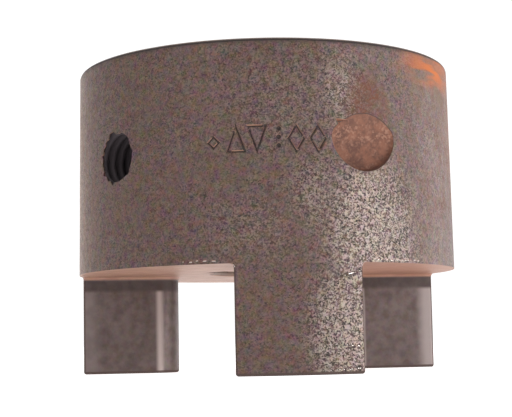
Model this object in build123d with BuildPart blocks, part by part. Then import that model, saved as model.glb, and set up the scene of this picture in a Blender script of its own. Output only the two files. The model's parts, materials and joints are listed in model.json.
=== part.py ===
"""One hub of a three-jaw flexible coupling, with its set screw.

Units are millimetres. +Z is the shaft axis, the jaws point down and their tips lie on z = 0.
One jaw is centred on -Y. Angles round the hub are counted from that jaw, towards +X.
"""

from build123d import *

import os
from math import cos, radians, sin, sqrt

# Body: a cast ring, straight over the jaws and then with a slight draft towards the back face
OUTER_RADIUS = 32.13
BACK_RADIUS = 31.83
BODY_LENGTH = 34.3
DRAFT_START = 1.2
BACK_EDGE_RADIUS = 0.8

# Jaws: three wedges. A spider leg of constant width lies along each flank.
JAW_COUNT = 3
JAW_LENGTH = 16.8
LEG_HALF_WIDTH = 6.55
FLANK_ANGLE = 30.0
NOSE_RADIUS = 4.2
JAW_CORNER_RADIUS = 0.5
JAW_TIP_EDGE_RADIUS = 0.45
ROOT_FILLET_RADIUS = 0.8

# Bore and keyway: 3/4 in shaft, 3/16 in key, and 0.837 in from the bore's far wall to the
# keyway's floor
INCH = 25.4
BORE_RADIUS = 0.75 * INCH / 2
BORE_CHAMFER = 0.5
KEYWAY_WIDTH = 0.1875 * INCH
KEYWAY_REACH = 0.837 * INCH - BORE_RADIUS

# Tapped hole for the set screw, 3/8-16, over the keyway and about half-way along the body.
# The hole is a little wider than the screw, so that the plain solids never overlap. At rest
# the screw's tip stands two turns of thread off the shaft.
THREAD_PITCH = INCH / 16
SCREW_ANGLE = -56.4
SCREW_HEIGHT = JAW_LENGTH + 17.6
TAPPED_RADIUS = 4.80
SCREW_RADIUS = 4.72
SCREW_LENGTH = 0.5 * INCH
SCREW_TIP_REST = BORE_RADIUS + 2 * THREAD_PITCH
SCREW_END_CHAMFER = 0.8
CUP_RADIUS = 2.4
CUP_DEPTH = 1.2
CUP_SLOPE = 50.0
HEX_ACROSS_FLATS = 0.1875 * INCH
HEX_DEPTH = 4.8

# Shallow round spot left by a cutter that leaned, so that its upper side runs out
SPOT_ANGLE = 19.8
SPOT_HEIGHT = 36.8
SPOT_RADIUS = 5.85
SPOT_CROWN = 0.2
SPOT_DEPTH = 0.92
SPOT_LEAN = 12.0

TOTAL_HEIGHT = JAW_LENGTH + BODY_LENGTH
OVERSIZE = 2.5
PAST = 5.0


def radial_plane(angle, distance, height, lean=0.0):
    """A plane facing straight out of the hub; lean tips its normal down, in degrees."""
    out = Vector(sin(radians(angle)), -cos(radians(angle)), 0)
    down = Vector(0, 0, -1)
    return Plane(
        origin=out * distance - down * height,
        x_dir=out.cross(down),
        z_dir=out * cos(radians(lean)) + down * sin(radians(lean)),
    )


def distance_from_axis(edge):
    centre = edge.center()
    return sqrt(centre.X**2 + centre.Y**2)


def mirrored(point):
    return (-point[0], point[1])


# A jaw's flanks would meet at the apex if they were carried on inwards. The nose arc touches
# both flanks. Each flank ends a little outside the body's outer cylinder.
flank_sin = sin(radians(FLANK_ANGLE))
flank_cos = cos(radians(FLANK_ANGLE))
apex = LEG_HALF_WIDTH / flank_sin
nose_centre = apex + NOSE_RADIUS / flank_sin
nose_tip = (0, -nose_centre + NOSE_RADIUS)
nose_touch = (NOSE_RADIUS * flank_cos, -nose_centre + NOSE_RADIUS * flank_sin)
flank_reach = OUTER_RADIUS + OVERSIZE
flank_end = (
    flank_reach * flank_sin - LEG_HALF_WIDTH * flank_cos,
    -flank_reach * flank_cos - LEG_HALF_WIDTH * flank_sin,
)

# One jaw, pointing down from the root face and carried on outwards past the outer cylinder
with BuildPart() as jaw:
    with BuildSketch():
        with BuildLine():
            Line(nose_touch, flank_end)
            Line(flank_end, mirrored(flank_end))
            Line(mirrored(flank_end), mirrored(nose_touch))
            ThreePointArc(mirrored(nose_touch), nose_tip, nose_touch)
        make_face()
    extrude(amount=JAW_LENGTH + OVERSIZE)

# The outside of the casting as a solid of revolution
with BuildPart() as envelope:
    with BuildSketch(Plane.XZ):
        Polygon(
            (0, 0),
            (OUTER_RADIUS, 0),
            (OUTER_RADIUS, JAW_LENGTH + DRAFT_START),
            (BACK_RADIUS, TOTAL_HEIGHT),
            (0, TOTAL_HEIGHT),
            align=None,
        )
    revolve(axis=Axis.Z)
    fillet(envelope.edges().sort_by(Axis.Z)[-1], radius=BACK_EDGE_RADIUS)

# The cutter that leaves the spot: a disc with a slightly crowned end, facing down its own axis
with BuildPart() as spot_cutter:
    with BuildSketch(Plane.XZ):
        with BuildLine():
            ThreePointArc((-SPOT_RADIUS, SPOT_CROWN), (0, 0), (SPOT_RADIUS, SPOT_CROWN))
            Polyline(
                (SPOT_RADIUS, SPOT_CROWN),
                (SPOT_RADIUS, PAST),
                (-SPOT_RADIUS, PAST),
                (-SPOT_RADIUS, SPOT_CROWN),
            )
        make_face()
        split(bisect_by=Plane.YZ)
    revolve(axis=Axis.Z)

# The hub: one casting, then bored, keyed and tapped. The blank is oversize, so that the
# fillets round the jaws' roots close on themselves before the envelope trims them.
with BuildPart() as hub:
    with BuildSketch(Plane.XY.offset(JAW_LENGTH)):
        Circle(OUTER_RADIUS + 2 * OVERSIZE)
    extrude(amount=BODY_LENGTH)
    blank_rim = hub.edges().sort_by(Axis.Z)[0]
    with PolarLocations(0, JAW_COUNT):
        add(jaw.part)
    root_edges = hub.edges().filter_by_position(Axis.Z, JAW_LENGTH, JAW_LENGTH)
    jaw_root_edges = root_edges.filter_by(lambda edge: edge.length < blank_rim.length)
    fillet(jaw_root_edges, radius=ROOT_FILLET_RADIUS)
    add(envelope.part, mode=Mode.INTERSECT)

    # Outer corners of the jaws, then the edges round their tips
    upright_edges = hub.edges().filter_by(Axis.Z)
    jaw_edges = upright_edges.filter_by(lambda edge: edge.length > JAW_LENGTH / 2)
    fillet(jaw_edges.group_by(distance_from_axis)[-1], radius=JAW_CORNER_RADIUS)
    tip_faces = hub.faces().filter_by_position(Axis.Z, 0, 0)
    fillet(tip_faces.edges(), radius=JAW_TIP_EDGE_RADIUS)

    # Bore, with a chamfer at both ends
    with Locations((0, 0, TOTAL_HEIGHT)):
        Hole(BORE_RADIUS)
    circles = hub.edges().filter_by(GeomType.CIRCLE)
    bore_ends = circles.filter_by(lambda edge: abs(edge.radius - BORE_RADIUS) < 0.01)
    chamfer(bore_ends, length=BORE_CHAMFER)

    # Keyway, from the bore's axis outwards so that it opens into the bore
    with BuildSketch(radial_plane(SCREW_ANGLE, 0, JAW_LENGTH + BODY_LENGTH / 2)):
        Rectangle(KEYWAY_WIDTH, BODY_LENGTH + 2 * PAST)
    extrude(amount=KEYWAY_REACH, mode=Mode.SUBTRACT)

    # Tapped hole, from inside the bore to past the outer wall
    with BuildSketch(radial_plane(SCREW_ANGLE, 0, SCREW_HEIGHT)):
        Circle(TAPPED_RADIUS)
    extrude(amount=OUTER_RADIUS + PAST, mode=Mode.SUBTRACT)

    # Spot
    spot_plane = radial_plane(SPOT_ANGLE, OUTER_RADIUS - SPOT_DEPTH, SPOT_HEIGHT, SPOT_LEAN)
    add(spot_cutter.part.moved(spot_plane.location), mode=Mode.SUBTRACT)

# Set screw: headless, with a hexagon socket outwards and a cup point towards the shaft
tip_plane = radial_plane(SCREW_ANGLE, SCREW_TIP_REST, SCREW_HEIGHT)
with BuildPart() as set_screw:
    with BuildSketch(tip_plane):
        Circle(SCREW_RADIUS)
    extrude(amount=SCREW_LENGTH)
    chamfer(set_screw.edges().filter_by(GeomType.CIRCLE), length=SCREW_END_CHAMFER)
    with BuildSketch(tip_plane.offset(SCREW_LENGTH)):
        RegularPolygon(HEX_ACROSS_FLATS / 2, 6, major_radius=False)
    extrude(amount=-HEX_DEPTH, mode=Mode.SUBTRACT)
    with BuildSketch(tip_plane):
        Circle(CUP_RADIUS)
    extrude(amount=CUP_DEPTH, taper=CUP_SLOPE, mode=Mode.SUBTRACT)

hub.part.label = "hub"
set_screw.part.label = "set_screw"

os.makedirs("parts", exist_ok=True)
export_step(hub.part, "parts/hub.step")
export_step(set_screw.part, "parts/set_screw.step")
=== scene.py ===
"""The looks of a three-jaw coupling hub and its set screw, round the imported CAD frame.

Meshes are made in millimetres and turned to metres when they are finished. Angles round the
hub are counted from the jaw that is centred on -Y, towards +X.
"""

import json
import math

import bmesh
import bpy
import numpy as np
from mathutils import Matrix, Vector, noise


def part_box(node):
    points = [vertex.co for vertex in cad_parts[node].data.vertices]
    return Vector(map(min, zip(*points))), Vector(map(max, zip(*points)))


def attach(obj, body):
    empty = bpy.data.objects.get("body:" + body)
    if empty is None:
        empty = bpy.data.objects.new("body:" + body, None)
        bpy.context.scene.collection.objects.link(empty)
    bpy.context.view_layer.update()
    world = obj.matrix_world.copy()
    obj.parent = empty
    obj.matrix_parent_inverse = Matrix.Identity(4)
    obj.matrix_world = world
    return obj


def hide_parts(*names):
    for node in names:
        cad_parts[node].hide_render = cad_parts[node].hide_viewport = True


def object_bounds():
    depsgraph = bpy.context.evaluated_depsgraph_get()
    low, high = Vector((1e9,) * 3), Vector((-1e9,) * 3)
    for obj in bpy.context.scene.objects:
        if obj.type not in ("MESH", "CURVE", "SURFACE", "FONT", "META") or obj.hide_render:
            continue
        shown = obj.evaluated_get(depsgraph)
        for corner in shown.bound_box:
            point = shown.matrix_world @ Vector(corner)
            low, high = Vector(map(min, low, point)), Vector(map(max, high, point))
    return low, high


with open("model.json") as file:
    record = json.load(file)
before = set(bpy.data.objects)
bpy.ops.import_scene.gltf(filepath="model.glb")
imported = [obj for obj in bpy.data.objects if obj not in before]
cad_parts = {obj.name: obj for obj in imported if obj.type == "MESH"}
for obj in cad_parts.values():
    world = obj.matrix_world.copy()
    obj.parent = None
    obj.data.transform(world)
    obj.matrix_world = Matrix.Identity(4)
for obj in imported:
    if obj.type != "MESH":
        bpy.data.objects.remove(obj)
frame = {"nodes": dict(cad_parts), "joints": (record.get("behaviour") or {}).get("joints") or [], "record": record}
cad_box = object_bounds()

MM = 0.001
TAU = 2 * math.pi

# ---------------------------------------------------------------- sizes from the frame

mounts = {mount["name"]: mount for mount in frame["record"]["mounts"]}
TOP = cad_box[1].z / MM
OUTER = cad_box[1].x / MM
ROOT = mounts["spider_seat"]["pos_m"][2] / MM
BORE = mounts["shaft_bore"]["dims"]["r_mm"]
SCREW_AXIS = Vector(frame["joints"][0]["axis"])
screw_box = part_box("set_screw")
SCREW_HEIGHT = (screw_box[0].z + screw_box[1].z) / 2 / MM
reaches = [v.co.dot(SCREW_AXIS) / MM for v in frame["nodes"]["set_screw"].data.vertices]
SCREW_TIP = min(reaches)
SCREW_END = max(reaches)
SCREW_ANGLE = math.degrees(math.atan2(SCREW_AXIS.x, -SCREW_AXIS.y))

# ---------------------------------------------------------------- sizes of the details

BACK_RADIUS = OUTER - 0.3
DRAFT_START = 1.2
DRAFT_SLOPE = (OUTER - BACK_RADIUS) / (TOP - ROOT - DRAFT_START)
BACK_EDGE = 0.8
BORE_CHAMFER = 0.5
LEG_HALF_WIDTH = 6.55
NOSE_RADIUS = 4.2
JAW_CORNER = 0.5
CORNER_OVERRUN = 14
TIP_EDGE = 0.45
ROOT_FILLET = 0.8
KEYWAY_WIDTH = 4.7625
KEYWAY_REACH = 0.837 * 25.4 - BORE
PITCH = 25.4 / 16
THREAD_MAJOR = 4.70
THREAD_DEPTH = 0.86
THREAD_CLEARANCE = 0.07
SCREW_CHAMFER = 0.9
HEX_APOTHEM = 4.7625 / 2
HEX_CHAMFER = 0.3
HEX_DEPTH = 4.8
DRILL_RADIUS = 1.2
CUP_RADIUS = 2.4
CUP_FLOOR_RADIUS = 0.9
CUP_DEPTH = 1.2
SPOT_ANGLE = 19.8
SPOT_HEIGHT = 36.8
SPOT_RADIUS = 5.85
SPOT_CROWN = 0.2
SPOT_DEPTH = 0.92
SPOT_LEAN = 12.0
SPOT_CORNER = 0.7
STAMP_HEIGHT = 35.5
STAMP_DEPTH = 0.22
STAMP_STROKE = 0.42

# Stamped outlines: (place along the rim, height above the marks' middle, half width, half height,
# number of corners, 1 for point up or -1 for point down)
STAMPS = (
    (-12.9, -0.4, 0.85, 0.85, 4, 1),
    (-9.4, 0.0, 1.35, 1.9, 3, 1),
    (-6.2, 0.0, 1.35, 1.9, 3, -1),
    (-0.2, 0.0, 1.2, 2.0, 4, 1),
    (3.2, 0.0, 1.2, 2.0, 4, 1),
    (7.3, 2.0, 0.85, 0.9, 3, -1),
)
# Punched dots: (place along the rim, height above the marks' middle)
DOTS = ((-2.9, 1.5), (-2.9, 0.2), (-2.9, -1.1), (7.3, -0.2))
# Rings of the cutter for a punched dot: (depth, radius)
DOT_SECTIONS = ((-0.2, 0.5), (0.12, 0.36), (0.24, 0.12))
# Nicks in the wall: (angle and height of each point, width, depth)
NICKS = (
    (((12.3, 14.75), (13.6, 15.0), (15.2, 15.2), (17.0, 15.5)), 0.42, 0.2),
    (((11.1, 6.2), (10.8, 5.6), (10.6, 4.9)), 0.34, 0.15),
    (((12.1, 4.4), (12.4, 4.37), (12.8, 4.33), (13.2, 4.3)), 0.36, 0.16),
    (((13.6, 4.25), (13.9, 4.24), (14.4, 4.24), (14.7, 4.25)), 0.36, 0.16),
    (((15.3, 4.4), (15.8, 4.28), (16.4, 4.12), (16.8, 4.05)), 0.40, 0.18),
)
# Torn places round the mouth of the tapped hole: (middle and half width in degrees, depth)
TEARS = (
    (11, 8, 0.23),
    (56, 22, 0.34),
    (106, 14, 0.60),
    (133, 6, 0.34),
    (152, 7, 0.20),
    (170, 6, 0.46),
    (190, 6, 0.26),
    (214, 8, 0.56),
    (236, 8, 0.34),
    (256, 8, 0.52),
    (318, 10, 0.26),
)
TEAR_RAMP = 0.12
MOUTH_START = 0.7
MOUTH_RAMP = 0.4

# Edges that are burred: (first angle, last angle, number of burrs, height)
BURRS = ((-33.0, -24.0, 5, 17.2), (21.5, 38.0, 13, 17.2), (7.6, 16.0, 8, 0.7))
# Scars round the back of the hub: (first angle, last angle, number)
SCARS = (70.0, 256.0, 15)
CHANCE_SEED = 4
# Lowest and highest values of what chance draws for a burr and a scar
BURR_SHIFT = (-0.5, 0.5)
BURR_LIFT = (-0.12, 0.12)
BURR_RISE = (-0.1, 0.1)
BURR_LENGTH = (0.5, 1.3)
BURR_WIDTH = (0.24, 0.36)
BURR_DEPTH = (0.09, 0.15)
SCAR_SHIFT = (-5, 5)
SCAR_HEIGHT = (18.5, 46.0)
SCAR_LENGTH = (1.2, 5.0)
SCAR_SLOPE = (-0.5, 0.5)
SCAR_WIDTH = (0.20, 0.34)
SCAR_DEPTH = (0.09, 0.14)
LINE_STEPS = (0.0, 0.3, 0.7, 1.0)
GROOVE_END = 0.35
# Places where the skin is worn through: (angle, height, half width, half height, how far)
WORN = (
    (22.0, 21.0, 14.0, 19.0, 0.95),
    (12.5, 6.0, 9.5, 17.0, 1.0),
    (12.0, 43.0, 8.0, 12.0, 0.42),
    (-12.0, 22.0, 14.0, 10.0, 0.28),
    (-2.0, 41.0, 20.0, 15.0, 0.26),
    (5.0, 27.0, 9.0, 12.0, 0.42),
    (131.0, 8.0, 9.0, 18.0, 0.70),
    (118.0, 34.0, 14.0, 14.0, 0.40),
    (-108.0, 10.0, 10.0, 20.0, 0.60),
    (170.0, 40.0, 16.0, 10.0, 0.45),
)

BLANK_SEGMENTS = 360
THREAD_SEGMENTS = 96
SPOT_SEGMENTS = 96
WALL_STEP = 0.8
WALL_WAVE = 0.035
GAP_PAST = 3.0
HUB_SHARP_ANGLE = 32
SCREW_SHARP_ANGLE = 28

# ---------------------------------------------------------------- finishes

IRON_DARK = (0.032, 0.020, 0.018)
IRON_LIGHT = (0.182, 0.115, 0.100)
IRON_GREY = (0.176, 0.116, 0.102)
IRON_SHADE = (0.062, 0.039, 0.034)
IRON_BROWN = (0.100, 0.063, 0.053)
IRON_WARM = (0.140, 0.085, 0.065)
IRON_BANDS = (0.200, 0.100, 0.062)
IRON_DUST = (0.205, 0.088, 0.054)
IRON_BACK_EDGE_SHADE = (0.050, 0.034, 0.032)
BARE_GRAINS = (0.400, 0.330, 0.288)
PITS = (0.026, 0.018, 0.016)
RUST_THIN = (0.150, 0.052, 0.027)
RUST_FLUSH = (0.250, 0.108, 0.056)
RUST_PATCH = (0.47, 0.125, 0.030)
RUST_HAZE = (0.150, 0.095, 0.052)
SPOT_DARK = (0.106, 0.042, 0.028)
SPOT_LIGHT = (0.200, 0.080, 0.047)
SPOT_BLOTCH = (0.30, 0.155, 0.105)
SPOT_DOTS = (0.32, 0.165, 0.110)
FLANK_DARK = (0.090, 0.064, 0.059)
FLANK_LIGHT = (0.140, 0.103, 0.097)
FLANK_NEAR_ROOT = (0.040, 0.028, 0.027)
FLANK_OUTER_WEAR_AND_HIGHLIGHT = (0.33, 0.275, 0.265)
FLANK_SHOULDER_HIGHLIGHT = (0.46, 0.385, 0.365)
EDGE_DULL = (0.094, 0.068, 0.062)
ROOT_DARK = (0.30, 0.162, 0.115)
ROOT_LIGHT = (0.40, 0.228, 0.166)
ROOT_RED = (0.385, 0.170, 0.112)
TURNED_DARK = (0.215, 0.152, 0.124)
TURNED_LIGHT = (0.320, 0.240, 0.204)
TURNED_STAIN = (0.235, 0.130, 0.090)
TURNED_FRECKLES = (0.125, 0.056, 0.036)
BURR_BRIGHT = (0.66, 0.60, 0.56)
STAMP_DARK = (0.026, 0.019, 0.018)
HOLE_SHADE = (0.060, 0.048, 0.053)
OXIDE_DARK = (0.018, 0.017, 0.018)
OXIDE_LIGHT = (0.042, 0.039, 0.038)
OXIDE_WORN = (0.16, 0.15, 0.145)

FINE_CELL = 0.20
GRAIN_CELL = 0.31
TOOL_MARK = 0.35
BUMP_SKIN = 0.05
BUMP_TURNED = 0.015
BUMP_OXIDE = 0.012
IRON_SPECULAR = 0.36
# Faces that count as rounded edges: limits of how far they face up or outwards, and where
EDGE_UP = (-0.995, -0.05)
EDGE_OUTWARDS = (0.1, 0.985)
EDGE_BELOW_ROOT = 0.5
EDGE_INWARDS = 1.2

# ---------------------------------------------------------------- camera and light

CAMERA_AZIMUTH = -9.124
CAMERA_DISTANCE = 226.586
CAMERA_HEIGHT = 5.086
CAMERA_YAW = 0.418
CAMERA_TILT = 5.814
CAMERA_ROLL = -1.112
CAMERA_LENS = 92.05
WORLD_FRONT = 0.40
WORLD_BACK = 1.45
WORLD_SEEN = 1.1
FLOOR_GLOW = 0.85
# Soft lamps: (name, azimuth, elevation, distance, size, power, colour)
LAMPS = (
    ("key", 50, 2, 450, 280, 1.34, (1, 1, 1)),
    ("side", 104, 5, 500, 300, 1.0, (1, 1, 1)),
    ("fill", -50, 35, 600, 400, 0.85, (1, 1, 1)),
    ("rim", -165, 5, 500, 300, 0.25, (1.0, 0.72, 0.52)),
)


# ---------------------------------------------------------------- mesh helpers


def outward(angle):
    """Unit vector straight out of the hub at an angle in degrees."""
    return Vector((math.sin(math.radians(angle)), -math.cos(math.radians(angle)), 0))


def radial_matrix(angle, distance, height, lean=0.0):
    """Local Z points out of the hub, local Y up and local X to the right along the rim."""
    out = outward(angle)
    up = Vector((0, 0, 1))
    z = out * math.cos(math.radians(lean)) - up * math.sin(math.radians(lean))
    x = up.cross(out)
    y = z.cross(x)
    place = Matrix((x, y, z)).transposed().to_4x4()
    place.translation = out * distance + Vector((0, 0, height))
    return place


def ring_faces(rows, count, wrap):
    """Quads between each ring and the next; wrap also joins the last ring to the first."""
    faces = []
    for row in range(rows if wrap else rows - 1):
        low = row * count
        high = (row + 1) % rows * count
        for i in range(count):
            j = (i + 1) % count
            faces.append((low + i, low + j, high + j, high + i))
    return faces


def ring_solid(name, rings, wrap=False):
    """A closed solid from a stack of rings with the same number of points each."""
    rings = np.asarray(rings, float)
    rows, count = rings.shape[:2]
    faces = ring_faces(rows, count, wrap)
    if not wrap:
        last = (rows - 1) * count
        faces.append(tuple(reversed(range(count))))
        faces.append(tuple(range(last, last + count)))
    mesh = bpy.data.meshes.new(name)
    mesh.from_pydata(rings.reshape(-1, 3).tolist(), [], faces)
    mesh.validate()
    piece = bpy.data.objects.new(name, mesh)
    bpy.context.scene.collection.objects.link(piece)
    return piece


def lathe_rings(profile, segments):
    """Rings round Z for a list of (radius, height) points."""
    turn = np.arange(segments) * TAU / segments
    profile = np.asarray(profile, float)
    radius, height = profile[:, :1], profile[:, 1:]
    flat = np.zeros_like(turn)
    return np.stack((radius * np.cos(turn), radius * np.sin(turn), height + flat), axis=2)


def arc(centre, radius, start, end, steps):
    """Points on an arc, angles in degrees."""
    angles = np.radians(np.linspace(start, end, steps + 1))
    x = centre[0] + radius * np.cos(angles)
    y = centre[1] + radius * np.sin(angles)
    return list(zip(x, y))


def recalculate(piece):
    """Turns all faces of a closed piece outwards."""
    shape = bmesh.new()
    shape.from_mesh(piece.data)
    bmesh.ops.recalc_face_normals(shape, faces=shape.faces)
    shape.to_mesh(piece.data)
    shape.free()


def cut(target, cutter):
    """Takes the cutter away from the target, and deletes the cutter."""
    step = target.modifiers.new("cut", "BOOLEAN")
    step.operation = "DIFFERENCE"
    step.solver = "MANIFOLD"
    step.object = cutter
    bpy.context.view_layer.update()
    shaped = target.evaluated_get(bpy.context.evaluated_depsgraph_get())
    mesh = bpy.data.meshes.new_from_object(shaped)
    target.modifiers.clear()
    target.data = mesh
    bpy.data.objects.remove(cutter)


def finish_mesh(piece, sharp_angle):
    """Smooth shading but for the sharp edges, then millimetres to metres."""
    mesh = piece.data
    mesh.materials.clear()
    mesh.shade_smooth()
    mesh.set_sharp_from_angle(angle=math.radians(sharp_angle))
    weigh = piece.modifiers.new("weigh", "WEIGHTED_NORMAL")
    weigh.keep_sharp = True
    bpy.context.view_layer.update()
    shaped = piece.evaluated_get(bpy.context.evaluated_depsgraph_get())
    piece.data = bpy.data.meshes.new_from_object(shaped)
    piece.modifiers.clear()
    piece.data.name = piece.name
    piece.data.transform(Matrix.Scale(MM, 4))


# ---------------------------------------------------------------- the hub


def outer_radius(height):
    """The casting is straight over the jaws, and then drafts in towards the back face."""
    share = (height - ROOT - DRAFT_START) / (TOP - ROOT - DRAFT_START)
    return OUTER + (BACK_RADIUS - OUTER) * max(share, 0.0)


def hub_blank():
    """The casting before the jaws are cut free: a bored ring from the jaw tips to the back."""
    wall = np.arange(TIP_EDGE, TOP - BACK_EDGE, WALL_STEP)
    profile = []
    profile += arc((OUTER - TIP_EDGE, TIP_EDGE), TIP_EDGE, -90, 0, 5)[:-1]
    profile += [(outer_radius(z), z) for z in wall]
    back_centre = (outer_radius(TOP - BACK_EDGE) - BACK_EDGE, TOP - BACK_EDGE)
    profile += arc(back_centre, BACK_EDGE, 0, 90, 6)
    profile += [(r, TOP) for r in np.arange(30.0, BORE + 1.5, -2.0)]
    profile += [(BORE + BORE_CHAMFER, TOP), (BORE, TOP - BORE_CHAMFER)]
    profile += [(BORE, z) for z in np.linspace(TOP - 2, ROOT + 2, 16)]
    profile += [(BORE, ROOT + BORE_CHAMFER), (BORE + BORE_CHAMFER, ROOT)]
    profile += [(BORE + BORE_CHAMFER, 0)]
    rings = lathe_rings(profile, BLANK_SEGMENTS)
    wave_wall(rings)
    return ring_solid("hub_casting", rings[::-1], wrap=True)


def wave_wall(rings):
    """The cast wall is never quite true: it dips by a few hundredths, and nowhere stands proud."""
    for ring in rings:
        if math.hypot(ring[0][0], ring[0][1]) < BACK_RADIUS - 1:
            continue
        for point in ring:
            broad = noise.noise(Vector(point) * 0.11)
            fine = noise.noise(Vector(point) * 0.45 + Vector((7, 3, 1)))
            dip = WALL_WAVE * (0.5 + 0.35 * broad + 0.3 * fine)
            point[:2] *= 1 - max(dip, 0) / OUTER


def jaw_outline(grow):
    """The first jaw seen from above, from its left side round the nose to its right side.

    grow moves the flanks and nose outwards from the jaw. The corners near the outer wall are
    rounded, and stop just short of touching it, so that the cut crosses the wall cleanly.
    """
    d = np.array((0.5, -math.sqrt(0.75)))
    m = np.array((math.sqrt(0.75), 0.5))
    offset = LEG_HALF_WIDTH - grow
    reach = math.sqrt((OUTER - JAW_CORNER) ** 2 - (offset + JAW_CORNER) ** 2)
    centre = reach * d - (offset + JAW_CORNER) * m
    first = math.degrees(math.atan2(m[1], m[0]))
    last = math.degrees(math.atan2(centre[1], centre[0]))
    corner = arc(centre, JAW_CORNER, first, last + CORNER_OVERRUN, 7)
    past = np.array(corner[-1])
    past = past * (OUTER + GAP_PAST) / np.linalg.norm(past)
    nose_radius = NOSE_RADIUS + grow
    nose_centre = (0, -(LEG_HALF_WIDTH / 0.5 + NOSE_RADIUS / 0.5))
    nose = arc(nose_centre, nose_radius, 90, 30, 10)
    start = np.array(nose[-1])
    end = np.array(corner[0])
    flank = [tuple(start + (end - start) * t) for t in np.linspace(0, 1, 16)[1:-1]]
    right = nose + flank + corner + [tuple(past)]
    left = [(-x, y) for x, y in right[:0:-1]]
    return np.array(left + right)


def gap_outline(grow):
    """Everything between and beyond the three jaws, as one closed line."""
    points = []
    for k in range(3):
        turn = k * TAU / 3
        c, s = math.cos(turn), math.sin(turn)
        jaw = jaw_outline(grow) @ np.array(((c, s), (-s, c)))
        points.extend(jaw)
        begin = math.atan2(jaw[-1][1], jaw[-1][0])
        sweep = TAU / 3 - (begin - math.atan2(jaw[0][1], jaw[0][0])) % TAU
        radius = OUTER + GAP_PAST
        for t in np.linspace(0, 1, 14)[1:-1]:
            angle = begin + sweep * t
            points.append((radius * math.cos(angle), radius * math.sin(angle)))
    return np.array(points)


def gap_cutter():
    """Cuts the jaws free, with a fillet at their roots and a rounded edge at their tips."""
    rows = [(-GAP_PAST, -TIP_EDGE)]
    for turn in (12, 30, 50, 70, 90):
        angle = math.radians(turn)
        rows.append((TIP_EDGE * (1 - math.cos(angle)), -TIP_EDGE * (1 - math.sin(angle))))
    rows += [(z, 0.0) for z in np.linspace(1.5, ROOT - ROOT_FILLET, 12)]
    for turn in (15, 30, 45, 60, 75, 90):
        angle = math.radians(turn)
        rows.append(
            (ROOT - ROOT_FILLET * (1 - math.sin(angle)), ROOT_FILLET * (1 - math.cos(angle)))
        )
    rings = []
    for height, grow in rows:
        outline = gap_outline(grow)
        rings.append(np.column_stack((outline, np.full(len(outline), height))))
    return ring_solid("gap_cutter", rings)


def keyway_cutter():
    """A square broach from inside the bore to the keyway's floor."""
    half = KEYWAY_WIDTH / 2
    square = [(-half, 0), (half, 0), (half, KEYWAY_REACH), (-half, KEYWAY_REACH)]
    rings = [[(x, -y, z) for x, y in square] for z in (ROOT - 2, TOP + 2)]
    cutter = ring_solid("keyway_cutter", rings)
    cutter.data.transform(Matrix.Rotation(math.radians(SCREW_ANGLE), 4, "Z"))
    cutter.data.flip_normals()
    return cutter


def thread_radius(turn, along, major):
    """Radius of a 60 degree thread at an angle round the screw and a place along it."""
    phase = (along / PITCH - turn / TAU) % 1.0
    slope = np.clip((abs(2 * phase - 1) - 0.125) / 0.625, 0, 1)
    return major - THREAD_DEPTH * slope


def level_ring(radius, turn, height):
    """A ring of points round Z, whose radius may differ from point to point."""
    flat = (radius * np.cos(turn), radius * np.sin(turn))
    return np.column_stack((*flat, np.full(len(turn), height)))


def thread_rings(along, major, count):
    """Rings that follow a thread along Z."""
    turn = np.arange(count) * TAU / count
    rings = []
    for s in along:
        rings.append(level_ring(thread_radius(turn, s, major), turn, s))
    return np.array(rings)


def tear(turn):
    """How far the torn mouth of the tapped hole stands back at an angle, in millimetres."""
    torn = np.zeros_like(turn)
    for middle, half, depth in TEARS:
        apart = abs((turn - math.radians(middle) + math.pi) % TAU - math.pi)
        torn = np.maximum(torn, depth * np.clip((math.radians(half) - apart) / TEAR_RAMP, 0, 1))
    return torn


def thread_cutter():
    """The tap that cut the hole; the thread is torn where it runs out through the wall."""
    inside = np.arange(5.0, OUTER - 1, PITCH / 10)
    along = np.concatenate((inside, np.arange(OUTER - 1, OUTER + GAP_PAST, 0.1)))
    rings = thread_rings(along, THREAD_MAJOR + THREAD_CLEARANCE, THREAD_SEGMENTS)
    turn = np.arange(THREAD_SEGMENTS) * TAU / THREAD_SEGMENTS
    for ring, s in zip(rings, along):
        wall = np.sqrt(OUTER**2 - (THREAD_MAJOR * np.cos(turn)) ** 2)
        share = np.clip((s - wall + MOUTH_START) / MOUTH_RAMP, 0, 1)
        size = np.hypot(ring[:, 0], ring[:, 1])
        torn = THREAD_MAJOR - THREAD_DEPTH + tear(turn)
        size_at_mouth = size + (torn - size) * share
        ring[:, :2] *= (size_at_mouth / size)[:, None]
    cutter = ring_solid("thread_cutter", rings)
    cutter.data.transform(radial_matrix(SCREW_ANGLE, 0, SCREW_HEIGHT))
    return cutter


def spot_cutter():
    """A leaning cutter with a slightly crowned end."""
    flat_reach = SPOT_RADIUS - SPOT_CORNER
    crown = [(r, SPOT_CROWN * (r / SPOT_RADIUS) ** 2) for r in np.linspace(0.4, flat_reach, 14)]
    corner = arc((flat_reach, crown[-1][1] + SPOT_CORNER), SPOT_CORNER, -90, 0, 6)
    profile = crown + corner[1:] + [(SPOT_RADIUS, 5.0)]
    cutter = ring_solid("spot_cutter", lathe_rings(profile, SPOT_SEGMENTS))
    cutter.data.transform(radial_matrix(SPOT_ANGLE, OUTER - SPOT_DEPTH, SPOT_HEIGHT, SPOT_LEAN))
    return cutter


def on_wall(x, y, depth):
    """A point at a place along the rim and a height, below the outer wall."""
    angle = x / OUTER
    radius = outer_radius(y) - depth
    return (radius * math.sin(angle), -radius * math.cos(angle), y)


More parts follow.
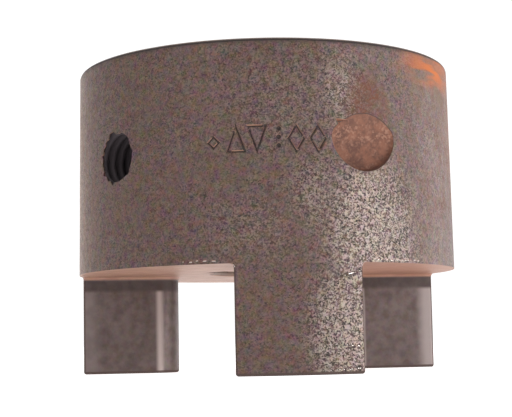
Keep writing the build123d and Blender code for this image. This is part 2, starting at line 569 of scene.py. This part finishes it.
def groove_cutter(name, line, width, depth, closed):
    """A V-shaped cutter along a line of (x, y) places on the outer wall."""
    line = np.asarray(line, float)
    count = len(line)
    rings = []
    for i, point in enumerate(line):
        before = line[(i - 1) % count] if closed or i > 0 else point
        after = line[(i + 1) % count] if closed or i < count - 1 else point
        ways = [w / np.linalg.norm(w) for w in (point - before, after - point) if w.any()]
        way = sum(ways) / np.linalg.norm(sum(ways))
        side = np.array((-way[1], way[0])) / max(way @ ways[0], 0.5)
        end = GROOVE_END if not closed and i in (0, count - 1) else 1.0
        spread = side * width / 2 * end
        section = [
            (point - spread * 1.4, -0.4 * depth),
            (point + spread * 1.4, -0.4 * depth),
            (point + spread * 0.35, depth * end),
            (point - spread * 0.35, depth * end),
        ]
        rings.append([on_wall(*place, sunk) for place, sunk in section])
    return ring_solid(name, rings, wrap=closed)


def outline(centre, half_size, corners, up):
    """A triangle or diamond, with points along its sides so that it follows the wall."""
    if corners == 3:
        shape = np.array(((0, 1), (-1, -1), (1, -1)), float)
    else:
        shape = np.array(((0, 1), (-1, 0), (0, -1), (1, 0)), float)
    shape = shape * (up, up) * half_size + centre
    points = []
    for a, b in zip(shape, np.roll(shape, -1, axis=0)):
        points.extend(a + (b - a) * t for t in (0.0, 0.25, 0.5, 0.75))
    return np.array(points)


def stamp_cutters():
    """Generic inspection marks: outlined triangles and diamonds, and small punched dots."""
    for i, (x, rise, half_width, half_height, corners, up) in enumerate(STAMPS):
        line = outline((x, STAMP_HEIGHT + rise), (half_width, half_height), corners, up)
        yield groove_cutter(f"stamp_cutter_{i}", line, STAMP_STROKE, STAMP_DEPTH, True)
    turn = np.arange(12) * TAU / 12
    for i, (x, rise) in enumerate(DOTS):
        rings = []
        height = STAMP_HEIGHT + rise
        for depth, radius in DOT_SECTIONS:
            places = [(x + radius * math.cos(t), height + radius * math.sin(t)) for t in turn]
            rings.append([on_wall(*place, depth) for place in places])
        yield ring_solid(f"dot_cutter_{i}", rings)


def burr_lines():
    """Short bright scars just above an edge, of uneven length and place."""
    chance = np.random.default_rng(CHANCE_SEED)
    for first, last, count, edge in BURRS:
        for angle in np.linspace(first, last, count):
            start = angle + chance.uniform(*BURR_SHIFT)
            height = edge + chance.uniform(*BURR_LIFT)
            rise = chance.uniform(*BURR_RISE)
            length = chance.uniform(*BURR_LENGTH)
            line = [(start + length * t, height + rise * t) for t in LINE_STEPS]
            yield line, chance.uniform(*BURR_WIDTH), chance.uniform(*BURR_DEPTH)


def scar_lines():
    """Thin scratches and knocks on the sides that the wear has reached less."""
    chance = np.random.default_rng(CHANCE_SEED + 1)
    first, last, count = SCARS
    for angle in np.linspace(first, last, count):
        start = angle + chance.uniform(*SCAR_SHIFT)
        height = chance.uniform(*SCAR_HEIGHT)
        length = chance.uniform(*SCAR_LENGTH)
        slope = chance.uniform(*SCAR_SLOPE)
        line = [(start + length * t, height + slope * length * t) for t in LINE_STEPS]
        yield line, chance.uniform(*SCAR_WIDTH), chance.uniform(*SCAR_DEPTH)


def nick_cutters():
    """Cutters for the nicks, burrs and scars in the outer wall."""
    for i, (line, width, depth) in enumerate((*NICKS, *burr_lines(), *scar_lines())):
        places = [(math.radians(angle) * OUTER, height) for angle, height in line]
        yield groove_cutter(f"nick_cutter_{i}", places, width, depth, False)


def make_hub():
    """The blank with its gaps, keyway, tapped hole, spot, marks and nicks cut from it."""
    hub = hub_blank()
    for cutter in (gap_cutter, keyway_cutter, thread_cutter, spot_cutter):
        cut(hub, cutter())
    for cutter in (*stamp_cutters(), *nick_cutters()):
        recalculate(cutter)
        cut(hub, cutter)
    recalculate(hub)
    finish_mesh(hub, HUB_SHARP_ANGLE)
    return hub


def mark_edges(hub):
    """Gives the rounded edges of the jaws the second material, which has no gloss."""
    for face in hub.data.polygons:
        x, y, z = face.center / MM
        radius = math.hypot(x, y)
        outwards = (face.normal.x * x + face.normal.y * y) / radius
        on_tip = z < TIP_EDGE and EDGE_UP[0] < face.normal.z < EDGE_UP[1]
        at_corner = z < ROOT - EDGE_BELOW_ROOT and radius > OUTER - EDGE_INWARDS
        on_corner = at_corner and EDGE_OUTWARDS[0] < outwards < EDGE_OUTWARDS[1]
        if on_tip or on_corner:
            face.material_index = 1


# ---------------------------------------------------------------- the set screw


def hexagon(turn, apothem):
    """Radius of a hexagon at each angle."""
    sixth = TAU / 6
    return apothem / np.cos((turn + sixth / 2) % sixth - sixth / 2)


def make_screw():
    """The threaded screw with its hexagon socket outwards and its cup towards the shaft."""
    turn = np.arange(THREAD_SEGMENTS) * TAU / THREAD_SEGMENTS
    along = np.arange(SCREW_TIP, SCREW_END + 0.001, PITCH / 14)
    along = np.append(along[:-1], SCREW_END)
    rings = thread_rings(along, THREAD_MAJOR, THREAD_SEGMENTS)
    for ring, s in zip(rings, along):
        to_end = min(s - SCREW_TIP, SCREW_END - s)
        limit = THREAD_MAJOR - SCREW_CHAMFER + to_end
        size = np.hypot(ring[:, 0], ring[:, 1])
        ring[:, :2] *= (np.minimum(size, limit) / size)[:, None]
    outer_end = [
        level_ring(hexagon(turn, HEX_APOTHEM + HEX_CHAMFER), turn, SCREW_END),
        level_ring(hexagon(turn, HEX_APOTHEM), turn, SCREW_END - HEX_CHAMFER),
        level_ring(hexagon(turn, HEX_APOTHEM), turn, SCREW_END - HEX_DEPTH),
        level_ring(DRILL_RADIUS, turn, SCREW_END - HEX_DEPTH - DRILL_RADIUS / 2),
    ]
    tip_end = [
        level_ring(CUP_FLOOR_RADIUS, turn, SCREW_TIP + CUP_DEPTH),
        level_ring(CUP_RADIUS, turn, SCREW_TIP + 0.02),
    ]
    rings = np.concatenate((tip_end, rings, outer_end))
    screw = ring_solid("set_screw_threaded", rings)
    screw.data.transform(radial_matrix(SCREW_ANGLE, 0, SCREW_HEIGHT))
    finish_mesh(screw, SCREW_SHARP_ANGLE)
    return screw


# ---------------------------------------------------------------- materials


class Shader:
    """A short way to write a node tree. Places are in millimetres in the part's own frame."""

    def __init__(self, name, specular=0.5):
        self.material = bpy.data.materials.new(name)
        self.material.use_nodes = True
        self.nodes = self.material.node_tree.nodes
        self.links = self.material.node_tree.links
        self.surface = self.nodes["Principled BSDF"]
        self.surface.inputs["Specular IOR Level"].default_value = specular
        frame_of = self.nodes.new("ShaderNodeTexCoord")
        self.normal = frame_of.outputs["Normal"]
        self.place = self.vector("SCALE", frame_of.outputs["Object"], scale=1 / MM)

    def locate(self):
        """Heights, and radii and angles round the hub; the angle is in radians."""
        x, y, self.z = self.split_xyz(self.place)
        level = self.vector("MULTIPLY", self.place, (1, 1, 0))
        self.radius = self.vector("LENGTH", level)
        self.outwards = self.vector("NORMALIZE", level)
        self.angle = self.math("ARCTAN2", x, self.times(y, -1.0))

    def lay(self, share, colour, rough, metal):
        """Covers what is there so far with another finish."""
        self.colour = self.mix(share, self.colour, colour)
        self.rough = self.blend(share, self.rough, rough)
        self.metal = self.blend(share, self.metal, metal)

    def feed(self, socket, value):
        """Links a socket to another, or sets its own value."""
        if isinstance(value, bpy.types.NodeSocket):
            self.links.new(value, socket)
        else:
            socket.default_value = value

    def split_xyz(self, value):
        node = self.nodes.new("ShaderNodeSeparateXYZ")
        self.feed(node.inputs[0], value)
        return node.outputs

    def vector(self, operation, a, b=None, scale=None):
        node = self.nodes.new("ShaderNodeVectorMath")
        node.operation = operation
        self.feed(node.inputs[0], a)
        if b is not None:
            self.feed(node.inputs[1], b)
        if scale is not None:
            node.inputs["Scale"].default_value = scale
        gives_number = operation in ("DISTANCE", "LENGTH", "DOT_PRODUCT")
        return node.outputs["Value" if gives_number else "Vector"]

    def math(self, operation, a, b=0.5):
        node = self.nodes.new("ShaderNodeMath")
        node.operation = operation
        self.feed(node.inputs[0], a)
        self.feed(node.inputs[1], b)
        return node.outputs[0]

    def times(self, first, *others):
        """All the values multiplied together."""
        for other in others:
            first = self.math("MULTIPLY", first, other)
        return first

    def most(self, first, *others):
        """The greatest of the values."""
        for other in others:
            first = self.math("MAXIMUM", first, other)
        return first

    def without(self, mask):
        """1 where a mask is 0."""
        return self.math("SUBTRACT", 1.0, mask)

    def noise(self, size, detail=3.0, roughness=0.55, offset=(0, 0, 0), stretch=(1, 1, 1)):
        """Noise with features about size millimetres across."""
        node = self.nodes.new("ShaderNodeTexNoise")
        place = self.vector("MULTIPLY_ADD", self.place, stretch)
        place.node.inputs[2].default_value = offset
        self.feed(node.inputs["Vector"], place)
        node.inputs["Scale"].default_value = 1 / size
        node.inputs["Detail"].default_value = detail
        node.inputs["Roughness"].default_value = roughness
        return node.outputs["Fac"]

    def tool_rings(self, size):
        """Noise that changes only outwards and upwards, as a lathe tool's marks do."""
        node = self.nodes.new("ShaderNodeTexNoise")
        node.noise_dimensions = "1D"
        self.feed(node.inputs["W"], self.math("ADD", self.radius, self.times(self.z, 0.9)))
        node.inputs["Scale"].default_value = 1 / size
        node.inputs["Detail"].default_value = 3.0
        return self.span(node.outputs["Fac"], 0.3, 0.7)

    def cells(self, size, offset=(0, 0, 0)):
        """A random value for each cell of a Voronoi pattern."""
        node = self.nodes.new("ShaderNodeTexVoronoi")
        self.feed(node.inputs["Vector"], self.vector("ADD", self.place, offset))
        node.inputs["Scale"].default_value = 1 / size
        split = self.nodes.new("ShaderNodeSeparateColor")
        self.feed(split.inputs[0], node.outputs["Color"])
        return split.outputs[0]

    def span(self, value, low, high, to_low=0.0, to_high=1.0):
        """A soft step from to_low to to_high, as a value goes from low to high."""
        node = self.nodes.new("ShaderNodeMapRange")
        node.interpolation_type = "SMOOTHSTEP"
        self.feed(node.inputs["Value"], value)
        node.inputs["From Min"].default_value = low
        node.inputs["From Max"].default_value = high
        node.inputs["To Min"].default_value = to_low
        node.inputs["To Max"].default_value = to_high
        return node.outputs["Result"]

    def near(self, centre, inner, outer):
        """1 within inner of a place, 0 beyond outer."""
        return self.span(self.vector("DISTANCE", self.place, centre), outer, inner)

    def on_wall(self, angle, height, half_width, half_height, soft=1.0):
        """1 inside an ellipse on the outer wall, and 0 a share of its size beyond it."""
        along = self.math("SUBTRACT", self.angle, math.radians(angle))
        along = self.times(along, OUTER / half_width)
        rise = self.times(self.math("SUBTRACT", self.z, height), 1 / half_height)
        squares = self.math("ADD", self.times(along, along), self.times(rise, rise))
        return self.span(self.math("SQRT", squares), 1.0, 1.0 - soft)

    def past_nose(self):
        """How far out along a jaw's flank a point lies from where the nose's curve ends."""
        fold = self.nodes.new("ShaderNodeMath")
        fold.operation = "WRAP"
        self.feed(fold.inputs[0], self.angle)
        fold.inputs[1].default_value = TAU / 6
        fold.inputs[2].default_value = -TAU / 6
        turn = self.math("SUBTRACT", self.math("ABSOLUTE", fold.outputs[0]), TAU / 12)
        reach = self.times(self.radius, self.math("COSINE", turn))
        curve_end = (LEG_HALF_WIDTH + NOSE_RADIUS) / math.tan(TAU / 12)
        return self.math("SUBTRACT", reach, curve_end)

    def mix(self, share, a, b):
        """A colour that goes from a to b."""
        node = self.nodes.new("ShaderNodeMix")
        node.data_type = "RGBA"
        self.feed(node.inputs["Factor"], share)
        for socket, colour in ((node.inputs["A"], a), (node.inputs["B"], b)):
            linked = isinstance(colour, bpy.types.NodeSocket)
            self.feed(socket, colour if linked else (*colour, 1))
        return node.outputs["Result"]

    def blend(self, share, a, b):
        """A number that goes from a to b."""
        node = self.nodes.new("ShaderNodeMix")
        self.feed(node.inputs["Factor"], share)
        self.feed(node.inputs["A"], a)
        self.feed(node.inputs["B"], b)
        return node.outputs["Result"]

    def tint(self, colour, size, strength):
        """Small wandering changes of hue, as in a thin film of oxide."""
        node = self.nodes.new("ShaderNodeTexNoise")
        self.feed(node.inputs["Vector"], self.place)
        node.inputs["Scale"].default_value = 1 / size
        node.inputs["Detail"].default_value = 2.0
        change = self.vector("SUBTRACT", node.outputs["Color"], (0.5, 0.5, 0.5))
        change = self.vector("SCALE", change, scale=strength)
        return self.vector("MAXIMUM", self.vector("ADD", colour, change), (0.01, 0.01, 0.01))

    def off_axis(self, along, height):
        """Distance from a level line that runs straight out of the hub at a height."""
        place = self.vector("SUBTRACT", self.place, (0, 0, height))
        return self.vector("LENGTH", self.vector("CROSS_PRODUCT", place, tuple(along)))

    def bump(self, height, depth, under=None):
        """Height from 0 to 1 stands for a relief of depth millimetres."""
        node = self.nodes.new("ShaderNodeBump")
        node.inputs["Strength"].default_value = 1.0
        node.inputs["Distance"].default_value = depth * MM
        self.feed(node.inputs["Height"], height)
        if under is not None:
            self.feed(node.inputs["Normal"], under)
        return node.outputs["Normal"]

    def done(self, normal):
        self.feed(self.surface.inputs["Base Color"], self.colour)
        self.feed(self.surface.inputs["Roughness"], self.rough)
        self.feed(self.surface.inputs["Metallic"], self.metal)
        self.feed(self.surface.inputs["Normal"], normal)
        return self.material


def skin(s):
    """Oxidised cast iron: a fine dark grain in brown, purple and grey, with a dusting of rust."""
    fine = s.cells(FINE_CELL, (6, 2, 5))
    grain = s.cells(GRAIN_CELL, (3, 8, 1))
    coarse = s.noise(0.75, 3.0, 0.6, (5, 8, 1))
    mottle = s.noise(2.4, 3.0, 0.6, (3, 1, 7))
    broad = s.noise(9.0, 2.0, 0.5, (8, 2, 5))
    colour = s.mix(fine, IRON_DARK, IRON_LIGHT)
    colour = s.mix(s.span(grain, 0.20, 1.0, 0, 0.65), colour, IRON_GREY)
    colour = s.mix(s.span(coarse, 0.45, 0.70, 0, 0.32), colour, IRON_SHADE)
    colour = s.mix(s.span(mottle, 0.38, 0.68, 0, 0.28), colour, IRON_BROWN)
    colour = s.mix(s.span(broad, 0.40, 0.70, 0, 0.30), colour, IRON_WARM)
    colour = s.tint(colour, 1.1, 0.095)
    warm_side = s.times(s.on_wall(-82, 27.0, 15.0, 26.0, 0.8), 0.45)
    bands = s.span(s.noise(1.8, 2.0, 0.5, (4, 4, 4), (1, 1, 0.2)), 0.40, 0.62)
    colour = s.mix(s.times(warm_side, bands), colour, IRON_BANDS)
    dust = s.times(s.span(s.noise(1.3, 3.0, 0.6, (2, 7, 9)), 0.55, 0.72), 0.45)
    s.colour = s.mix(dust, colour, IRON_DUST)
    s.rough = s.span(coarse, 0.3, 0.7, 0.42, 0.56)
    s.metal = s.span(grain, 0.5, 1.0, 0.20, 0.45)
    return fine, grain


def wear(s, fine, grain, wall):
    """Bare grains of metal and dark pits, in the places where the skin is worn through."""
    places = [s.times(s.on_wall(*place), share) for *place, share in WORN]
    worn = s.most(*places)
    flecks = s.math("ADD", s.times(fine, 0.5), s.times(grain, 0.5))
    flecks = s.math("ADD", flecks, s.times(worn, 0.18))
    bare = s.times(s.span(flecks, 0.42, 0.95), s.span(worn, 0.0, 0.70, 0.0, 0.80), wall)
    s.lay(bare, s.tint(BARE_GRAINS, 0.8, 0.17), 0.46, 0.55)
    pits = s.math("ADD", s.times(s.cells(0.34, (4, 4, 9)), 0.35), s.times(fine, 0.65))
    pits = s.times(s.span(pits, 0.42, 0.12), s.span(worn, 0.0, 0.5, 0.25, 0.90), wall)
    s.lay(pits, PITS, 0.7, 0.0)


def rust(s, grain, in_spot):
    """Rust in the cutter's mark, in a plume above it, and in streaks below the back edge."""
    plume_noise = s.noise(2.2, 3.0, 0.6, (6, 6, 6))
    plume = s.times(s.on_wall(21, 40.0, 5.2, 8.0, 0.6), s.span(plume_noise, 0.3, 0.6, 0.45, 0.95))
    drift_noise = s.noise(3.0, 4.0, 0.6, (1, 9, 4), (1, 1, 0.6))
    drift_share = s.span(drift_noise, 0.40, 0.64, 0.14, 0.60)
    drift = s.times(s.on_wall(56, 34.0, 17.0, 22.0, 0.7), drift_share)
    thin = s.times(s.most(plume, drift), s.without(in_spot), s.span(grain, 0.0, 1.0, 1.0, 0.40))
    s.lay(thin, RUST_THIN, 0.8, 0.0)

    hues = s.noise(2.0, 4.0, 0.65, (2, 2, 8))
    spot_colour = s.mix(s.span(hues, 0.35, 0.65), SPOT_DARK, SPOT_LIGHT)
    blotches = s.span(s.noise(1.1, 3.0, 0.6, (8, 1, 3)), 0.55, 0.72, 0, 0.55)
    spot_colour = s.mix(blotches, spot_colour, SPOT_BLOTCH)
    from_middle = s.math("ABSOLUTE", s.math("SUBTRACT", s.z, SPOT_HEIGHT))
    dots = s.times(s.span(grain, 0.55, 1.0), s.span(from_middle, 2.2, 0.4, 0.2, 0.6))
    s.lay(in_spot, s.mix(dots, spot_colour, SPOT_DOTS), 0.72, 0.0)

    s.lay(s.times(s.on_wall(72, 39.0, 9.0, 16.0), 0.45), RUST_FLUSH, 0.75, 0.0)
    streaks = s.noise(2.4, 2.0, 0.45, (1, 2, 3), (0.35, 0.35, 1.8))
    patch = s.times(s.on_wall(52, 48.6, 15.0, 4.6), s.span(streaks, 0.30, 0.60))
    patch = s.most(patch, s.times(s.on_wall(57, 49.3, 8.5, 2.6), 0.62))
    s.lay(patch, RUST_PATCH, 0.85, 0.0)
    haze = s.times(s.on_wall(54, 45.0, 14.0, 8.0), s.span(streaks, 0.60, 0.40, 0, 0.45))
    s.lay(haze, RUST_HAZE, 0.75, 0.0)
    return s.most(in_spot, patch)


def flanks(s, flank, facing_out):
    """The jaws' flanks, rubbed smooth by the spider; dark at the root and along the edges, with painted highlights
    on their shoulders and outer edges.
    """
    tone = s.noise(1.8, 4.0, 0.55, (7, 1, 1))
    colour = s.mix(s.span(tone, 0.3, 0.7), FLANK_DARK, FLANK_LIGHT)
    s.lay(flank, s.tint(colour, 0.9, 0.04), 0.40, 0.35)
    # A darker band on the flanks just below the root.
    s.lay(s.times(flank, s.span(s.z, 13.9, 14.7), 0.62), FLANK_NEAR_ROOT, 0.5, 0.1)
    low = s.span(s.z, 14.6, 13.9)
    # Painted highlight: a lighter band of a different finish by the outer edge of each flank, painted much
    # brighter on the +X side, where the light falls.
    painted_light_by_side = s.span(s.angle, 0.0, 0.1, 0.25, 0.85)
    outer = s.times(flank, s.span(s.radius, 28.6, 30.8), low, painted_light_by_side)
    s.lay(outer, FLANK_OUTER_WEAR_AND_HIGHLIGHT, 0.38, 0.5)
    # Painted highlight: a bright strip on each flank just before its curve into the nose.
    along = s.past_nose()
    shoulder_highlight = s.times(flank, s.span(along, -1.5, -0.5), s.span(along, 0.4, -0.5), low)
    s.lay(shoulder_highlight, FLANK_SHOULDER_HIGHLIGHT, 0.40, 0.5)
    corner = s.times(s.span(facing_out, 0.15, 0.35), s.span(facing_out, 0.97, 0.85))
    corner = s.times(corner, s.span(s.z, ROOT, ROOT - 0.5))
    dull = s.times(s.most(corner, s.span(s.z, 0.5, 0.4)), 0.93)
    s.lay(dull, EDGE_DULL, 0.9, 0.0)


def machined(s, root_face, turned):
    """Cut faces: a thin film of rust at the root, and turned rings on the back and in the bore."""
    film = s.span(s.noise(3.0, 4.0, 0.6, (5, 5, 5)), 0.3, 0.7)
    s.lay(root_face, s.tint(s.mix(film, ROOT_DARK, ROOT_LIGHT), 1.6, 0.06), 0.48, 0.22)
    s.lay(s.times(root_face, s.span(s.angle, 0.0, 0.5, 0.0, 0.4)), ROOT_RED, 0.55, 0.15)
    rings = s.tool_rings(TOOL_MARK)
    colour = s.mix(rings, TURNED_DARK, TURNED_LIGHT)
    stain = s.span(s.noise(4.5, 5.0, 0.65, (9, 5, 2)), 0.42, 0.72, 0, 0.7)
    colour = s.mix(stain, colour, TURNED_STAIN)
    freckles = s.span(s.noise(0.9, 3.0, 0.6, (3, 3, 8)), 0.62, 0.70, 0, 0.75)
    colour = s.mix(freckles, colour, TURNED_FRECKLES)
    rough = s.blend(stain, s.span(rings, 0, 1, 0.40, 0.50), 0.60)
    s.lay(turned, s.tint(colour, 1.4, 0.03), rough, s.blend(stain, 0.50, 0.20))
    return rings


def cast_iron(name, glossy):
    """The hub's finish: skin, worn grains, rust, rubbed flanks and machined faces, with some painted highlights
    and shade.
    """
    s = Shader(name, IRON_SPECULAR if glossy else 0.0)
    s.locate()
    up = s.split_xyz(s.normal)[2]
    facing_out = s.vector("DOT_PRODUCT", s.normal, s.outwards)
    draft = s.most(s.math("SUBTRACT", s.z, ROOT + DRAFT_START), 0.0)
    sunk = s.math("SUBTRACT", s.math("SUBTRACT", OUTER, s.times(draft, DRAFT_SLOPE)), s.radius)
    root_face = s.times(s.span(up, -0.15, -0.75), s.span(s.z, 15.6, 16.1))
    back_face = s.times(s.span(up, 0.55, 0.85), s.span(s.z, TOP - 1.0, TOP - 0.5))
    bore = s.times(s.span(s.radius, 13.6, 13.2), s.span(s.z, ROOT, ROOT + 0.2))
    turned = s.most(back_face, bore)
    cut_faces = s.most(root_face, turned)
    wall = s.span(facing_out, 0.70, 0.90)
    flank = s.times(s.without(wall), s.span(s.z, ROOT + 0.2, ROOT), s.without(root_face))
    spot_place = outward(SPOT_ANGLE) * (OUTER - SPOT_DEPTH) + Vector((0, 0, SPOT_HEIGHT))
    in_spot = s.near(tuple(spot_place), SPOT_RADIUS - 0.1, SPOT_RADIUS + 0.4)
    in_spot = s.times(in_spot, s.span(sunk, 0.05, 0.10))
    tapped = s.off_axis(outward(SCREW_ANGLE), SCREW_HEIGHT)
    hole = s.times(s.span(tapped, 5.9, 5.2), s.span(sunk, 0.15, 0.5))
    marks = s.times(s.span(sunk, 0.035, 0.06), s.span(sunk, 0.6, 0.5))
    marks = s.times(marks, s.without(s.most(in_spot, hole)), wall)

    fine, grain = skin(s)
    wear(s, fine, grain, wall)
    # Painted shade: a darker band in the last millimetre below the rounded back edge.
    back_edge_shade = s.times(s.span(s.z, TOP - 1.3, TOP - 0.5), 0.5)
    s.lay(back_edge_shade, IRON_BACK_EDGE_SHADE, 0.6, 0.1)
    rusted = rust(s, grain, in_spot)
    flanks(s, flank, facing_out)
    rings = machined(s, root_face, turned)
    if glossy:
        s.lay(s.times(marks, s.span(s.z, 20.0, 19.0)), BURR_BRIGHT, 0.32, 0.85)
    s.lay(s.times(marks, s.span(s.z, 30.0, 31.0), 0.86), STAMP_DARK, 0.75, 0.0)
    # Painted shade: the inside and torn mouth of the tapped hole are made dark.
    s.lay(hole, HOLE_SHADE, 1.0, 0.0)
    if not glossy:
        s.rough, s.metal = 1.0, 0.0

    smooth = s.most(flank, cut_faces, s.times(rusted, 0.6))
    relief = s.blend(smooth, 1.0, 0.10)
    normal = s.bump(s.times(fine, relief), BUMP_SKIN)
    normal = s.bump(s.times(grain, relief), BUMP_SKIN, under=normal)
    normal = s.bump(s.times(rings, cut_faces), BUMP_TURNED, under=normal)
    return s.done(normal)


def black_oxide():
    """Black oxide on the set screw, worn to grey on the crests of its thread."""
    s = Shader("black_oxide_steel")
    film = s.noise(0.8, 3.0, 0.6, (2, 4, 1))
    s.colour = s.mix(s.span(film, 0.3, 0.7), OXIDE_DARK, OXIDE_LIGHT)
    s.rough = s.span(film, 0.3, 0.7, 0.34, 0.5)
    s.metal = 0.75
    from_axis = s.off_axis(outward(SCREW_ANGLE), SCREW_HEIGHT)
    worn = s.span(s.noise(1.5, 2.0, 0.5), 0.4, 0.6)
    s.lay(s.times(s.span(from_axis, 4.58, 4.68), worn), OXIDE_WORN, 0.32, 0.9)
    return s.done(s.bump(s.noise(0.25, 2.0, 0.6), BUMP_OXIDE))


# ---------------------------------------------------------------- stage and camera


def make_floor():
    """A plain white floor that glows a little, so that it stays white under the hub."""
    mesh = bpy.data.meshes.new("floor")
    half = 3.0
    corners = [(-half, -half, 0), (half, -half, 0), (half, half, 0), (-half, half, 0)]
    mesh.from_pydata(corners, [], [(0, 1, 2, 3)])
    floor = bpy.data.objects.new("floor", mesh)
    bpy.context.scene.collection.objects.link(floor)
    material = bpy.data.materials.new("floor_white")
    material.use_nodes = True
    surface = material.node_tree.nodes["Principled BSDF"]
    surface.inputs["Base Color"].default_value = (0.8, 0.8, 0.8, 1)
    surface.inputs["Roughness"].default_value = 0.9
    surface.inputs["Emission Color"].default_value = (1, 1, 1, 1)
    surface.inputs["Emission Strength"].default_value = FLOOR_GLOW
    mesh.materials.append(material)


def make_world():
    """White to the camera. It lights the hub more from behind, as a bright backdrop does."""
    world = bpy.data.worlds.new("studio")
    bpy.context.scene.world = world
    world.use_nodes = True
    nodes, links = world.node_tree.nodes, world.node_tree.links
    place = nodes.new("ShaderNodeTexCoord")
    behind = nodes.new("ShaderNodeVectorMath")
    behind.operation = "DOT_PRODUCT"
    behind.inputs[1].default_value = -outward(CAMERA_AZIMUTH)
    links.new(place.outputs["Generated"], behind.inputs[0])
    level = nodes.new("ShaderNodeMapRange")
    level.inputs["From Min"].default_value = 0.1
    level.inputs["To Min"].default_value = WORLD_FRONT
    level.inputs["To Max"].default_value = WORLD_BACK
    links.new(behind.outputs["Value"], level.inputs["Value"])
    path = nodes.new("ShaderNodeLightPath")
    seen = nodes.new("ShaderNodeMix")
    seen.inputs["B"].default_value = WORLD_SEEN
    links.new(path.outputs["Is Camera Ray"], seen.inputs["Factor"])
    links.new(level.outputs["Result"], seen.inputs["A"])
    links.new(seen.outputs["Result"], nodes["Background"].inputs["Strength"])
    nodes["Background"].inputs["Color"].default_value = (1, 1, 1, 1)


def make_lamps():
    """Soft lamps aimed at the middle of the hub. Distances and sizes are in millimetres."""
    for name, azimuth, elevation, distance, size, power, colour in LAMPS:
        light = bpy.data.lights.new(name, "AREA")
        light.shape = "DISK"
        light.size = size * MM
        light.energy = power
        light.color = colour
        lamp = bpy.data.objects.new(name, light)
        bpy.context.scene.collection.objects.link(lamp)
        level = outward(azimuth) * math.cos(math.radians(elevation))
        out = level + Vector((0, 0, math.sin(math.radians(elevation))))
        aim = Vector((0, 0, TOP / 2))
        lamp.location = (aim + out * distance) * MM
        lamp.rotation_euler = out.to_track_quat("Z", "Y").to_euler()


def make_camera():
    data = bpy.data.cameras.new("camera")
    data.sensor_width = 36.0
    data.lens = CAMERA_LENS
    data.clip_start = 0.01
    camera = bpy.data.objects.new("camera", data)
    bpy.context.scene.collection.objects.link(camera)
    camera.matrix_world = (
        Matrix.Rotation(math.radians(CAMERA_AZIMUTH), 4, "Z")
        @ Matrix.Translation(Vector((0, -CAMERA_DISTANCE, CAMERA_HEIGHT)) * MM)
        @ Matrix.Rotation(math.radians(CAMERA_YAW), 4, "Z")
        @ Matrix.Rotation(math.radians(90 + CAMERA_TILT), 4, "X")
        @ Matrix.Rotation(math.radians(CAMERA_ROLL), 4, "Z")
    )
    bpy.context.scene.camera = camera
    bpy.context.scene.view_settings.view_transform = "Standard"


hub = make_hub()
hub.data.materials.append(cast_iron("cast_iron_oxidised", glossy=True))
hub.data.materials.append(cast_iron("cast_iron_dull_edges", glossy=False))
mark_edges(hub)
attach(hub, "hub")
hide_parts("hub")

screw = make_screw()
screw.data.materials.append(black_oxide())
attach(screw, "set_screw")
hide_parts("set_screw")

make_floor()
make_world()
make_lamps()
make_camera()
